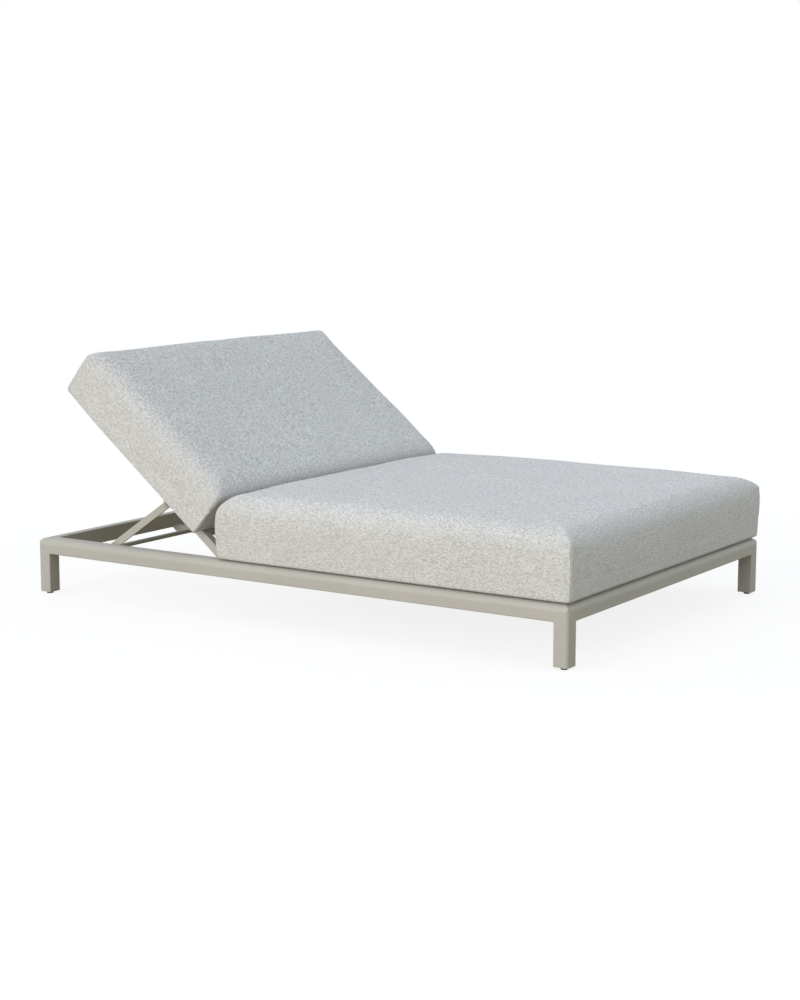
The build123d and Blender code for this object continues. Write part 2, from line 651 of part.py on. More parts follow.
def cushion_profile(length, hem, end_top, low_roll, high_roll, bulge):
    """A cushion's outline from the side: rolled top ends, small hems below, open above its crown."""
    low_shoulder, high_shoulder = end_top - low_roll, end_top - high_roll
    swell = (hem + high_shoulder) / 2
    ease = 1 - sin(pi / 4)
    low_dip, high_dip, lip = low_roll * ease, high_roll * ease, hem * ease
    high = length - bulge
    roof = end_top + low_roll
    edges = [Line((hem, 0), (high - hem, 0)),
             ThreePointArc((high - hem, 0), (high - lip, lip), (high, hem)),
             ThreePointArc((high, hem), (length, swell), (high, high_shoulder)),
             ThreePointArc((high, high_shoulder), (high - high_dip, end_top - high_dip), (high - high_roll, end_top)),
             Line((high - high_roll, end_top), (high - 2 * high_roll, roof)),
             Line((high - 2 * high_roll, roof), (2 * low_roll, roof)),
             Line((2 * low_roll, roof), (low_roll, end_top)),
             ThreePointArc((low_roll, end_top), (low_dip, end_top - low_dip), (0, low_shoulder)),
             Line((0, low_shoulder), (0, hem)),
             ThreePointArc((0, hem), (lip, lip), (hem, 0))]
    return make_face(Wire(edges))


def cushion(length, end_thick, side_thick, crown, side_roll, low_roll, high_roll):
    """A boxed cushion: a crowned section swung on a long arc, cut by its side view and its plan."""
    half = CUSHION_HALF_WIDTH
    drop = side_thick - end_thick
    radius = (length ** 2 / 4 + drop ** 2) / (2 * drop)
    swing = degrees(atan2(length / 2 + OVERRUN, radius - drop))
    axis = Axis((length / 2, 0, side_thick - radius), (0, 1, 0))
    middle = Plane(origin=(length / 2, 0, 0), x_dir=(0, 1, 0), z_dir=(1, 0, 0))
    section = middle * cushion_section(half, side_thick, crown, side_roll, CUSHION_BULGE, side_roll)
    body = revolve(section.rotate(axis, -swing), axis, 2 * swing)
    side = cushion_profile(length, CUSHION_HEM, end_thick + crown, low_roll, high_roll, CUSHION_END_BULGE)
    plan = Pos(length / 2, 0) * RectangleRounded(length + 2 * OVERRUN, 2 * (half + OVERRUN), CUSHION_CORNER)
    body &= extrude(Plane.XZ * side, 2 * half, both=True)
    return body & (Pos(0, 0, -OVERRUN) * extrude(plan, 2 * end_thick))


def seat_cushion():
    shape = cushion(SEAT_FOOT_X - SEAT_HEAD_X, SEAT_END_THICK, SEAT_SIDE_THICK, SEAT_CROWN,
                    SEAT_SIDE_ROUND, SEAT_END_ROUND, SEAT_END_ROUND)
    return Pos(SEAT_HEAD_X, 0, DECK_TOP + TOUCH) * shape


def back_cushion():
    shape = cushion(BACK_CUSHION_LENGTH, BACK_CUSHION_END_THICK, BACK_CUSHION_SIDE_THICK, BACK_CUSHION_CROWN,
                    BACK_CUSHION_SIDE_ROUND, BACK_CUSHION_LOWER_ROUND, BACK_CUSHION_UPPER_ROUND)
    return on_back(Pos(-BACK_CUSHION_START, 0, BACK_TUBE_DEPTH / 2 + TOUCH) * Rot(0, 0, 180) * shape)


def build():
    """Every sub-part by its name."""
    parts = {"centre_beam": centre_beam(), "seat_bearer": seat_bearer(), "hinge_rail": hinge_rail(),
             "seat_slats": seat_slats(), "head_rail": end_rail(-1),
             "foot_rail": end_rail(1), "pivot_bolts": pivot_bolts(), "rivet_nuts": rivet_nuts(),
             "stop_pads": stop_pads(), "back_top_tube": back_top_tube(),
             "back_slats": back_slats(), "back_spine": back_spine(), "back_end_caps": back_end_caps(),
             "back_bushes": back_bushes(), "prop_bolts": prop_bolts(), "prop_nuts": prop_nuts(),
             "prop_bushes": prop_bushes(), "prop_cross_bar": prop_cross_bar(),
             "cross_bar_caps": cross_bar_caps()}
    for name, side in SIDES.items():
        parts[f"side_rail_{name}"] = side_rail(side)
        parts[f"slat_ledge_{name}"] = slat_ledge(side)
        parts[f"prop_rack_{name}"] = prop_rack(side)
        parts[f"back_stop_{name}"] = back_stop(side)
        parts[f"back_side_tube_{name}"] = back_side_tube(side)
        parts[f"prop_lug_{name}"] = prop_lug(side)
        parts[f"prop_arm_{name}"] = prop_arm(side)
        for end_name, end in ENDS.items():
            parts[f"leg_{end_name}_{name}"] = leg(end, side)
    corners = [(end, side) for end in ENDS.values() for side in SIDES.values()]
    parts["leg_end_plates"] = group([leg_end_plate(*corner) for corner in corners])
    parts["leg_glides"] = group([glide(*corner) for corner in corners])
    parts["seat_cushion"] = seat_cushion()
    parts["back_cushion"] = back_cushion()
    return parts


os.makedirs("parts", exist_ok=True)
for node, shape in build().items():
    export_step(shape, f"parts/{node}.step")
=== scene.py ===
import json
from collections import namedtuple
from math import cos, pi, radians, sin

import bmesh
import bpy
from mathutils import Matrix, Vector, geometry, noise


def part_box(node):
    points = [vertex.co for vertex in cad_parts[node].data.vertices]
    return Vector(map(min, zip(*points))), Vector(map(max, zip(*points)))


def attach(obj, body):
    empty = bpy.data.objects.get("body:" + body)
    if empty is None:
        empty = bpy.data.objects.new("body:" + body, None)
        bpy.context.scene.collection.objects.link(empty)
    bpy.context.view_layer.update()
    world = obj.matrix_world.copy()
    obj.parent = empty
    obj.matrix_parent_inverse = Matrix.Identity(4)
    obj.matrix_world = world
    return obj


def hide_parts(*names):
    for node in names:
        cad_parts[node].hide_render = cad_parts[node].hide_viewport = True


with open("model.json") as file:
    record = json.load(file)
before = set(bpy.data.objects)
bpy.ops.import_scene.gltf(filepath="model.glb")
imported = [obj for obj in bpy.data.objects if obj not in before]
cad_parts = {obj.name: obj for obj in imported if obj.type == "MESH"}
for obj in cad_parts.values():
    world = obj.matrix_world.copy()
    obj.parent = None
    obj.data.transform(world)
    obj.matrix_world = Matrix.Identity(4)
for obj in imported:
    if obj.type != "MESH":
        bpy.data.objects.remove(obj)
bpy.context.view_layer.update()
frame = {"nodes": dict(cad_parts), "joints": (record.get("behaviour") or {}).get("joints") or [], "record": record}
NODES = frame["nodes"]
RECLINE = next(joint for joint in frame["joints"] if joint["child"] == "back_frame")

MM = 0.001

# How finely the cushions' covers are meshed: small steps at the edges, wide ones in the middle
FINE_STEP = 4.5 * MM
WIDE_STEP = 26 * MM
STEP_GROWTH = 1.15
HEM_LEVELS = 4
WALL_LEVELS = 14
ROLL_LEVELS = 9

# How each edge of a cover stands: its mid-height bulge, its top roll, its roll at the base, and
# by what share an end's corners tighten the top roll
Edge = namedtuple("Edge", "bulge roll hem tight")
SEAT_HEAD_EDGE = Edge(12 * MM, 53 * MM, 13 * MM, 0.1)
SEAT_FOOT_EDGE = Edge(12 * MM, 62 * MM, 10 * MM, 0.5)
SEAT_SIDE_EDGE = Edge(9 * MM, 62 * MM, 7 * MM, 0)
BACK_UPPER_EDGE = Edge(3 * MM, 22 * MM, 15 * MM, 0.45)
BACK_LOWER_EDGE = Edge(4 * MM, 44 * MM, 7 * MM, 0.3)
BACK_SIDE_EDGE = Edge(5 * MM, 54 * MM, 4 * MM, 0)
EDGE_BLEND = 70 * MM
TIGHT_REACH = 170 * MM

# How far each cover's widest line stands beyond its CAD solid
SEAT_HEAD_REACH = 11 * MM
SEAT_FOOT_REACH = 15 * MM
SEAT_SIDE_REACH = 9 * MM
BACK_SIDE_REACH = 1 * MM
BACK_END_REACH = 0.5 * MM

# How far the covers' tops lie below their solids', and fall away towards the ends and the sides
SEAT_SINK = 2.5 * MM
SEAT_END_DROP = 7 * MM
SEAT_CROWN = 6 * MM
BACK_SINK = 2 * MM
BACK_END_DROP = 4 * MM
BACK_CROWN = 5 * MM
CROWN_POWER = 3

# How the back cushion's sides droop over the tubes that it lies on
BACK_DROOP = 7.5 * MM
DROOP_REACH = 38 * MM
DROOP_FROM = 20 * MM
DROOP_FULL = 170 * MM

# The corner seams, which fade out over the top roll, and how dark they and the hem line are; the hem line's
# darkening is painted shade for the shadow in the gap under each cushion
SEAM_DEPTH = 2.2 * MM
SEAM_PUFF = 0.5 * MM
SEAM_REACH = 18 * MM
SEAM_TOP = 0.5
SEAM_FADE_SHARE = 1 / 3
SEAM_AND_SHADE_SHARE = 0.35
# How strongly the lower part of the hem is darkened: painted shade for the shadowed gap under the cushion
HEM_PAINTED_SHADE = 2.8

# How the corners are rounded: a crease up the walls, and a ball over the roll
CREASE_CORNER = 5 * MM
CREASE_POWER = 4
BALL_CORNER = 20 * MM

# Puckers beside the corner seams, and the small unevenness of the covers
PUCKER = 0.7 * MM
PUCKER_LENGTH = 31 * MM
PUCKER_REACH = 40 * MM
WAVE = 2.4 * MM
WAVE_LENGTH = 230 * MM
RUMPLE = 0.9 * MM
RUMPLE_LENGTH = 75 * MM

SWELL = 2.5 * MM
SWELL_CAP = 5 * MM
SIM_FRAMES = 20
AIR_PRESSURE = 4.0
STRETCH_STIFFNESS = 40.0
SHEAR_STIFFNESS = 20.0
BEND_STIFFNESS = 4.0

# The shares of a cushion's height up to which its cover is held, and from which it moves freely
HELD_SHARE = 0.025
FREE_SHARE = 0.275

# Points of a solid's triangles that are one point, and points that lie on one level
SAME_PLACE = 0.001 * MM
SAME_LEVEL = 0.01 * MM

# Welds and screws
BEAD_RADIUS = 2.0 * MM
BEAD_SIDES = 8
BEAD_STEP = 0.65 * MM
RIPPLE_LENGTH = 2.6 * MM
RIPPLE = 0.16
RING_STEPS = 24
STITCH_WELD = 30 * MM
STITCH_SPACING = 240 * MM
GROUND_WELD_BELOW = 1.0 * MM
GROUND_WELD_ABOVE = 4.2 * MM
GROUND_WELD_EASE = 0.5 * MM
GROUND_WELD_PROUD = 0.12 * MM
SCREW_RADIUS = 4.6 * MM
SCREW_HEIGHT = 2.4 * MM
SCREW_SEGMENTS = 24
SOCKET_RADIUS = 2.0 * MM
SOCKET_DEPTH = 1.5 * MM
SOCKET_SIDES = 6
RACK_SCREW_HEIGHT = 1.8 * MM
RACK_SCREW_RISE = 7 * MM
RACK_SCREW_SHARES = (0.18, 0.8)
LEDGE_THICK = 3 * MM

# How fine the patterns are, in grains to a metre, and how they are squeezed along X, Y and Z
DASH_SCALE = 150
FLECK_SCALE = 360
LOOP_SCALE = 290
MOTTLE_SCALE = 7
YARN_SQUEEZE = (0.85, 0.85, 2.4)
PEEL_SCALE = 950
CLOUD_SCALE = 5
RUB_SCALE = 60
GRAIN_SCALE = 1400
DUST_SCALE = 45
TURNING_SCALE = 420
TURNING_SQUEEZE = (1, 9, 1)

# How high the patterns stand, and how far from an edge the powder coat is rubbed
LOOP_HEIGHT = 2.4 * MM
PEEL_HEIGHT = 0.3 * MM
GRAIN_HEIGHT = 0.2 * MM
TURNING_HEIGHT = 0.1 * MM
RUBBED_EDGE = 1.6 * MM

# The photograph's camera, fitted to the frame's corners in it, and light like the photograph's
CAMERA_PLACE = (3.7615, -5.7123, 1.4032)
CAMERA_AZIMUTH = 33.31
CAMERA_ELEVATION = 8.92
SENSOR = 36.0
LENS_SHARE = 1.988
SKY_HIGH = (0.643, 0.716, 0.805)
SKY_LOW = (0.955, 0.97, 1.01)
SKY_TURN = 0.6
SUN_FROM = (-0.25, -0.92, 0.30)
SUN_STRENGTH = 1.62
SUN_COLOUR = (1.0, 0.94, 0.91)
SUN_ANGLE = 40
FLOOR_SIZE = 60
FLOOR_COLOUR = (0.80, 0.79, 0.77)
FLOOR_BOUNCE = (0.42, 0.375, 0.235)
FLOOR_GLOW = 1.09
FLOOR_GLOW_SHARE = 0.78

# Colours, as linear values
FABRIC_PALE = (0.815, 0.806, 0.78)
FABRIC_MID = (0.652, 0.645, 0.622)
FABRIC_DARK = (0.40, 0.394, 0.374)
# The dark of the corner seams, also used for the painted shade along the cushions' hem line
SEAM_AND_SHADE_DARK = (0.19, 0.185, 0.17)
PAINT = (0.466, 0.448, 0.40)
PAINT_WORN = (0.54, 0.52, 0.47)
PAINT_DULL = (0.405, 0.39, 0.346)
NYLON = (0.014, 0.014, 0.015)
RUBBER = (0.016, 0.016, 0.016)
STEEL = (0.62, 0.61, 0.59)


class Flow:
    """An output of a node. Sums and products of flows add the Math nodes that work them out."""

    def __init__(self, tree, socket=None):
        self.tree, self.socket = tree, socket

    def node(self, kind, settings, sockets, out=0):
        """Adds a node: its settings first, then the values or links of its sockets."""
        node = self.tree.nodes.new(kind)
        for name, value in settings.items():
            setattr(node, name, value)
        for key, value in sockets.items():
            if isinstance(value, Flow):
                self.tree.links.new(value.socket, node.inputs[key])
            else:
                node.inputs[key].default_value = value
        return Flow(self.tree, node.outputs[out]) if len(node.outputs) else None

    def maths(self, operation, *values):
        return self.node("ShaderNodeMath", {"operation": operation}, dict(enumerate(values)))

    def __add__(self, other):
        return self.maths("ADD", self, other)

    def __sub__(self, other):
        return self.maths("SUBTRACT", self, other)

    def __rsub__(self, other):
        return self.maths("SUBTRACT", other, self)

    def __mul__(self, other):
        return self.maths("MULTIPLY", self, other)

    __radd__, __rmul__ = __add__, __mul__

    def between(self, low, high):
        """0 below `low`, 1 above `high`, and a straight rise from one to the other."""
        return self.node("ShaderNodeMapRange", {}, {"Value": self, "From Min": low, "From Max": high})

    def blend(self, first, second):
        """A colour that goes from the first to the second as this value goes from 0 to 1."""
        return self.node("ShaderNodeMix", {"data_type": "RGBA"}, {0: self, 6: first, 7: second}, 2)

    def squeezed(self, shares):
        """This vector times one share for each axis: over 1, a pattern on it is squeezed together."""
        return self.node("ShaderNodeVectorMath", {"operation": "MULTIPLY"}, {0: self, 1: shares})

    def speckle(self, scale, detail=2.0, roughness=0.5):
        """Noise over this vector."""
        sockets = {"Vector": self, "Scale": scale, "Detail": detail, "Roughness": roughness}
        return self.node("ShaderNodeTexNoise", {}, sockets)

    def bump(self, strength, depth):
        """The normal of a surface whose height is this value."""
        return self.node("ShaderNodeBump", {}, {"Height": self, "Strength": strength, "Distance": depth})


def opaque(colour):
    return (*colour, 1.0)


def new_material(name, make, *details):
    """A material whose shader comes from `make`."""
    material = bpy.data.materials.new(name)
    material.use_nodes = True
    material.node_tree.nodes.clear()
    flow = Flow(material.node_tree)
    flow.node("ShaderNodeOutputMaterial", {}, {"Surface": make(flow, *details)})
    return material


def surface_place(flow, tilt=0.0):
    """Where a point is on the piece, with the back's pattern turned to lie along it."""
    place = flow.node("ShaderNodeTexCoord", {}, {}, "Object")
    return flow.node("ShaderNodeMapping", {}, {"Vector": place, "Rotation": (0, -tilt, 0)})


def boucle(flow, tilt):
    """Looped yarn: short pale and grey dashes that lie level, on small rounded loops."""
    place = surface_place(flow, tilt)
    level = place.squeezed(YARN_SQUEEZE)
    dashes = level.speckle(DASH_SCALE, 3, 0.66)
    flecks = level.speckle(FLECK_SCALE, 2, 0.6)
    loops = flow.node("ShaderNodeTexVoronoi", {"feature": "SMOOTH_F1"},
                      {"Vector": level, "Scale": LOOP_SCALE, "Smoothness": 0.35})
    mottle = place.speckle(MOTTLE_SCALE, 2)
    seam = flow.node("ShaderNodeAttribute", {"attribute_name": "seam"}, {}, "Fac")
    pale = dashes.between(0.50, 0.60) * flecks.between(0.36, 0.56)
    grey = (1 - dashes).between(0.48, 0.60) * flecks.between(0.40, 0.56)
    colour = pale.blend(opaque(FABRIC_MID), opaque(FABRIC_PALE))
    colour = grey.blend(colour, opaque(FABRIC_DARK))
    colour = (mottle.between(0.35, 0.75) * 0.10).blend(colour, opaque(FABRIC_DARK))
    # Darker at the corner seams, and painted shade along the hem, where the gap under the cushion is in shadow
    colour = (seam * SEAM_AND_SHADE_SHARE).blend(colour, opaque(SEAM_AND_SHADE_DARK))
    height = (1 - loops) * 0.6 + dashes * 0.9 + flecks * 0.3
    return flow.node("ShaderNodeBsdfPrincipled", {}, {
        "Base Color": colour, "Roughness": 0.93, "Specular IOR Level": 0.25, "Sheen Weight": 0.12,
        "Sheen Roughness": 0.6, "Normal": height.bump(0.7, LOOP_HEIGHT)})


def powder_coat(flow):
    """Satin powder coat: a fine orange peel, faint cloudiness and edges rubbed a little paler."""
    place = surface_place(flow)
    peel = place.speckle(PEEL_SCALE, 2, 0.6)
    cloud = place.speckle(CLOUD_SCALE, 3)
    rub = place.speckle(RUB_SCALE, 4, 0.65)
    bevel = flow.node("ShaderNodeBevel", {"samples": 4}, {"Radius": RUBBED_EDGE})
    plain = flow.node("ShaderNodeNewGeometry", {}, {}, "Normal")
    facing = flow.node("ShaderNodeVectorMath", {"operation": "DOT_PRODUCT"}, {0: bevel, 1: plain}, "Value")
    edge = (1 - facing).between(0.02, 0.22) * rub.between(0.35, 0.7)
    colour = (cloud.between(0.35, 0.7) * 0.35).blend(opaque(PAINT), opaque(PAINT_DULL))
    colour = (edge * 0.6).blend(colour, opaque(PAINT_WORN))
    return flow.node("ShaderNodeBsdfPrincipled", {}, {
        "Base Color": colour, "Roughness": cloud * 0.12 + 0.42, "Specular IOR Level": 0.3,
        "Normal": peel.bump(0.12, PEEL_HEIGHT)})


def moulded(flow, colour, roughness):
    """Moulded plastic or rubber: a fine grain with faint dusty patches."""
    place = surface_place(flow)
    grain, dust = place.speckle(GRAIN_SCALE, 2), place.speckle(DUST_SCALE, 3)
    paler = tuple(part * 2.2 + 0.01 for part in colour)
    tone = (dust.between(0.45, 0.8) * 0.7).blend(opaque(colour), opaque(paler))
    return flow.node("ShaderNodeBsdfPrincipled", {}, {
        "Base Color": tone, "Roughness": dust * 0.15 + roughness, "Specular IOR Level": 0.25,
        "Normal": grain.bump(0.2, GRAIN_HEIGHT)})


def turned_steel(flow):
    """Stainless steel with fine turning marks across the frame."""
    marks = surface_place(flow).squeezed(TURNING_SQUEEZE).speckle(TURNING_SCALE, 3, 0.7)
    tone = marks.between(0.3, 0.7).blend(opaque(tuple(part * 0.86 for part in STEEL)), opaque(STEEL))
    return flow.node("ShaderNodeBsdfPrincipled", {}, {
        "Base Color": tone, "Metallic": 1.0, "Roughness": marks * 0.2 + 0.22,
        "Normal": marks.bump(0.1, TURNING_HEIGHT)})


def studio_floor(flow):
    """A pale floor that the camera sees near white, with the lounger's shadow on it."""
    rays = flow.node("ShaderNodeLightPath", {}, {}, "Is Camera Ray")
    tone = rays.blend(opaque(FLOOR_BOUNCE), opaque(FLOOR_COLOUR))
    diffuse = flow.node("ShaderNodeBsdfDiffuse", {}, {"Color": tone})
    glow = flow.node("ShaderNodeEmission", {}, {"Color": (1, 1, 1, 1), "Strength": FLOOR_GLOW})
    return flow.node("ShaderNodeMixShader", {}, {0: rays * FLOOR_GLOW_SHARE, 1: diffuse, 2: glow})


# The back's lean at rest, about its hinge
BACK_LEAN = -min(RECLINE["range_deg"])
BACK_PLACE = Matrix.Translation(RECLINE["pos_m"]) @ Matrix.Rotation(radians(BACK_LEAN), 4, "Y")
FLAT = Matrix.Identity(4)

MATERIALS = {
    "seat_fabric": new_material("seat boucle", boucle, 0.0),
    "back_fabric": new_material("back boucle", boucle, radians(BACK_LEAN)),
    "frame_paint": new_material("taupe powder coat", powder_coat),
    "black_nylon": new_material("black nylon", moulded, NYLON, 0.5),
    "black_rubber": new_material("black rubber", moulded, RUBBER, 0.72),
    "stainless": new_material("turned stainless", turned_steel),
    "floor": new_material("studio floor", studio_floor),
}


def piece(name, points, faces, material, place=FLAT):
    """A smooth-shaded mesh object whose place is in its points."""
    mesh = bpy.data.meshes.new(name)
    mesh.from_pydata([place @ Vector(point) for point in points], [], faces)
    mesh.polygons.foreach_set("use_smooth", [True] * len(mesh.polygons))
    mesh.materials.append(material)
    mesh.update()
    made = bpy.data.objects.new(name, mesh)
    bpy.context.scene.collection.objects.link(made)
    return made


# Cushions

def spread(length):
    """Shares from 0 to 1 along a length, close together at both ends and wide in the middle."""
    steps, step = [0.0], FINE_STEP
    while steps[-1] < length / 2:
        steps.append(steps[-1] + step)
        step = min(step * STEP_GROWTH, WIDE_STEP)
    half = [value / steps[-1] / 2 for value in steps]
    return half + [1 - share for share in half[-2::-1]]


def clipped(share):
    """The share held between 0 and 1."""
    return min(1.0, max(0.0, share))


def eased(share):
    """A smooth rise from 0 to 1 as the share goes from 0 to 1."""
    return clipped(share) ** 2 * (3 - 2 * clipped(share))


class Form:
    """One cushion lying flat: its widest lines, how its top is crowned and how its edges roll."""

    def __init__(self, low, high, end_drop, crown, edges, droop=0.0):
        self.low, self.high = Vector(low), Vector(high)
        self.end_drop, self.crown, self.droop = end_drop, crown, droop
        self.low_end, self.high_end, self.side = edges
        self.us = spread(self.high.x - self.low.x)
        self.vs = spread(self.high.y - self.low.y)
        self.border = ([(u, 0.0) for u in self.us] + [(1.0, v) for v in self.vs[1:]]
                       + [(u, 1.0) for u in self.us[-2::-1]] + [(0.0, v) for v in self.vs[-2:0:-1]])

    def thickness(self, x, y):
        """How thick the cushion is: full in the middle, and thinner towards its ends and sides."""
        along = abs(2 * x - self.low.x - self.high.x) / (self.high.x - self.low.x)
        across = abs(2 * y - self.low.y - self.high.y) / (self.high.y - self.low.y)
        fall = self.end_drop * along ** CROWN_POWER + self.crown * across ** CROWN_POWER
        return self.high.z - self.low.z - fall

    def hang(self, x, y, rise):
        """How far a point hangs down: most at the sides' lowest line, and not at all at the low end."""
        near = min(y - self.low.y, self.high.y - y)
        outward = max(0.0, 1 - near / DROOP_REACH) ** 2
        onward = eased((x - self.low.x - DROOP_FROM) / (DROOP_FULL - DROOP_FROM))
        downward = 1 - rise / (self.high.z - self.low.z)
        return self.droop * outward * onward * downward

    def level(self, part, share, edge, full):
        """How far a line round the cushion stands in on one edge, and how high it lies."""
        turn = share * pi / 2
        if part == "hem":
            inset, rise = edge.hem * (1 - sin(turn)), edge.hem * (1 - cos(turn))
        elif part == "wall":
            inset, rise = 0.0, edge.hem + (full - edge.roll - edge.hem) * share
        else:
            inset, rise = edge.roll * (1 - cos(turn)), full - edge.roll * (1 - sin(turn))
        return inset + edge.bulge * (1 - sin(pi * rise / full)), rise

    def mixed(self, u, near_x, near_y):
        """The edge at a border point: an end's or a side's, with a tighter roll at the corners."""
        share = eased((1 + (near_y - near_x) / EDGE_BLEND) / 2)
        end = self.low_end if u < 0.5 else self.high_end
        edge = Edge(*(a + (b - a) * share for a, b in zip(self.side, end)))
        close = max(0.0, 1 - max(near_x, near_y) / TIGHT_REACH)
        return edge._replace(roll=edge.roll * (1 - end.tight * close ** 2))

    def plan(self, part, share):
        """The lowest and highest X and Y of a line round the cushion."""
        full = self.high.z - self.low.z
        low = self.level(part, share, self.low_end, full - self.end_drop)[0]
        high = self.level(part, share, self.high_end, full - self.end_drop)[0]
        side = self.level(part, share, self.side, full - self.crown)[0]
        return self.low.x + low, self.high.x - high, self.low.y + side, self.high.y - side

    def ring(self, part, share, corner, seam):
        """One closed line round the cushion. Its corners are rounded, with a seam drawn in at each."""
        x0, x1, y0, y1 = self.plan(part, share)
        points, seam_and_shade_marks = [], []
        for u, v in self.border:
            x, y = x0 + (x1 - x0) * u, y0 + (y1 - y0) * v
            near_x, near_y = min(x - x0, x1 - x), min(y - y0, y1 - y)
            run = max(near_x, near_y)
            edge = self.mixed(u, near_x, near_y)
            along, inward = run, 0.0
            if run < corner:
                turn = (1 - run / corner) * pi / 4
                along, inward = corner * (1 - sin(turn)), corner * (1 - cos(turn))
            if run < SEAM_REACH:
                inward -= seam * (SEAM_PUFF * sin(pi * run / SEAM_REACH) - SEAM_DEPTH * (run == 0.0))
            if run == 0.0:
                along = inward
            if near_y <= near_x:
                x = x0 + along if u < 0.5 else x1 - along
                y = y0 + inward if v < 0.5 else y1 - inward
            else:
                y = y0 + along if v < 0.5 else y1 - along
                x = x0 + inward if u < 0.5 else x1 - inward
            rise = self.level(part, share, edge, self.thickness(x, y))[1]
            points.append(Vector((x, y, self.low.z + rise - self.hang(x, y, rise))))
            # On the hem the lower part is marked dark: painted shade for the shadowed gap under the cushion
            seam_and_shade_marks.append(HEM_PAINTED_SHADE * (1 - share) if part == "hem" else seam * (run == 0.0))
        return points, seam_and_shade_marks

    def rings(self):
        """Every line from the base's edge, round the hem, up the wall and over the roll."""
        for i in range(HEM_LEVELS):
            yield "hem", i / HEM_LEVELS, CREASE_CORNER, 1.0
        for i in range(WALL_LEVELS):
            share = i / WALL_LEVELS
            yield "wall", share, CREASE_CORNER * (1 + share ** CREASE_POWER), 1.0
        for i in range(ROLL_LEVELS):
            share = i / (ROLL_LEVELS - 1)
            corner = CREASE_CORNER * (2 - share) + BALL_CORNER * sin(pi * share)
            yield "roll", share, corner, SEAM_TOP * max(0.0, 1 - share / SEAM_FADE_SHARE)

    def mesh(self):
        """The points and faces of the whole cover, and how much of a seam each point is, with the painted shade
        along the hem counted in.
        """
        levels = list(self.rings())
        count = len(self.border)
        points, seam_and_shade_marks = [], []
        for level in levels:
            for made, kept in zip(self.ring(*level), (points, seam_and_shade_marks)):
                kept.extend(made)
        faces = []
        for k in range(len(levels) - 1):
            for n in range(count):
                m = (n + 1) % count
                faces.append((k * count + n, k * count + m, (k + 1) * count + m, (k + 1) * count + n))
        for k, upward in ((0, False), (len(levels) - 1, True)):
            x0, x1, y0, y1 = self.plan(*levels[k][:2])
            index = {place: k * count + n for n, place in enumerate(self.border)}
            for u in self.us[1:-1]:
                for v in self.vs[1:-1]:
                    x, y = x0 + (x1 - x0) * u, y0 + (y1 - y0) * v
                    index[u, v] = len(points)
                    rise = upward * self.thickness(x, y)
                    points.append(Vector((x, y, self.low.z + rise - self.hang(x, y, rise))))
                    seam_and_shade_marks.append(0.0)
            for u, next_u in zip(self.us, self.us[1:]):
                for v, next_v in zip(self.vs, self.vs[1:]):
                    quad = [index[u, v], index[next_u, v], index[next_u, next_v], index[u, next_v]]
                    faces.append(quad if upward else quad[::-1])
        return points, faces, seam_and_shade_marks

    def looseness(self, point):
        """How freely the cover moves at a point: not at all at its base, and fully from FREE_SHARE up."""
        rise = (point.z - self.low.z) / (self.high.z - self.low.z)
        return clipped((rise - HELD_SHARE) / (FREE_SHARE - HELD_SHARE))


def swollen(made, form):
    """Where cloth simulation takes each point, with air pressure inside the cover and its base held."""
    held = made.vertex_groups.new(name="held")
    held.add([v.index for v in made.data.vertices if form.looseness(v.co) == 0.0], 1.0, "REPLACE")
    cloth = made.modifiers.new("cloth", "CLOTH")
    cloth.settings.vertex_group_mass = "held"
    cloth.settings.use_pressure = True
    cloth.settings.uniform_pressure_force = AIR_PRESSURE
    cloth.settings.tension_stiffness = cloth.settings.compression_stiffness = STRETCH_STIFFNESS
    cloth.settings.shear_stiffness = SHEAR_STIFFNESS
    cloth.settings.bending_stiffness = BEND_STIFFNESS
    cloth.settings.effector_weights.gravity = 0.0
    for number in range(1, SIM_FRAMES + 1):
        bpy.context.scene.frame_set(number)
    evaluated = made.evaluated_get(bpy.context.evaluated_depsgraph_get())
    places = [vertex.co.copy() for vertex in evaluated.data.vertices]
    made.modifiers.remove(cloth)
    made.vertex_groups.clear()
    bpy.context.scene.frame_set(1)
    return places


def stuffed(name, form, material, place, body, node):
    """A finished cushion: swollen, a little uneven, puckered at its corner seams and smoothed."""
    points, faces, seam_and_shade_marks = form.mesh()
    made = piece(name, points, faces, material)
    rest = [vertex.co.copy() for vertex in made.data.vertices]
    normals = [vertex.normal.copy() for vertex in made.data.vertices]
    grown = swollen(made, form)
    corners = [(x, y) for x in (form.low.x, form.high.x) for y in (form.low.y, form.high.y)]
    for vertex, start, end, normal in zip(made.data.vertices, rest, grown, normals):
        move = end - start
        if move.length > 0:
            move *= min(1.0, SWELL_CAP / move.length)
        uneven = WAVE * noise.noise(start / WAVE_LENGTH) + RUMPLE * noise.noise(start / RUMPLE_LENGTH)
        near = min(((start.x - x) ** 2 + (start.y - y) ** 2) ** 0.5 for x, y in corners)
        uneven += PUCKER * max(0.0, 1 - near / PUCKER_REACH) * sin(2 * pi * start.z / PUCKER_LENGTH)
        vertex.co = place @ (start + (move + normal * uneven) * form.looseness(start))
    # The marks that darken the fabric: the corner seams, and the painted shade along the hem
    made.data.attributes.new("seam", "FLOAT", "POINT").data.foreach_set("value", seam_and_shade_marks)
    made.data.update()
    smooth = made.modifiers.new("smooth", "SUBSURF")
    smooth.levels = smooth.render_levels = 1
    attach(made, body)
    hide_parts(node)
    return made


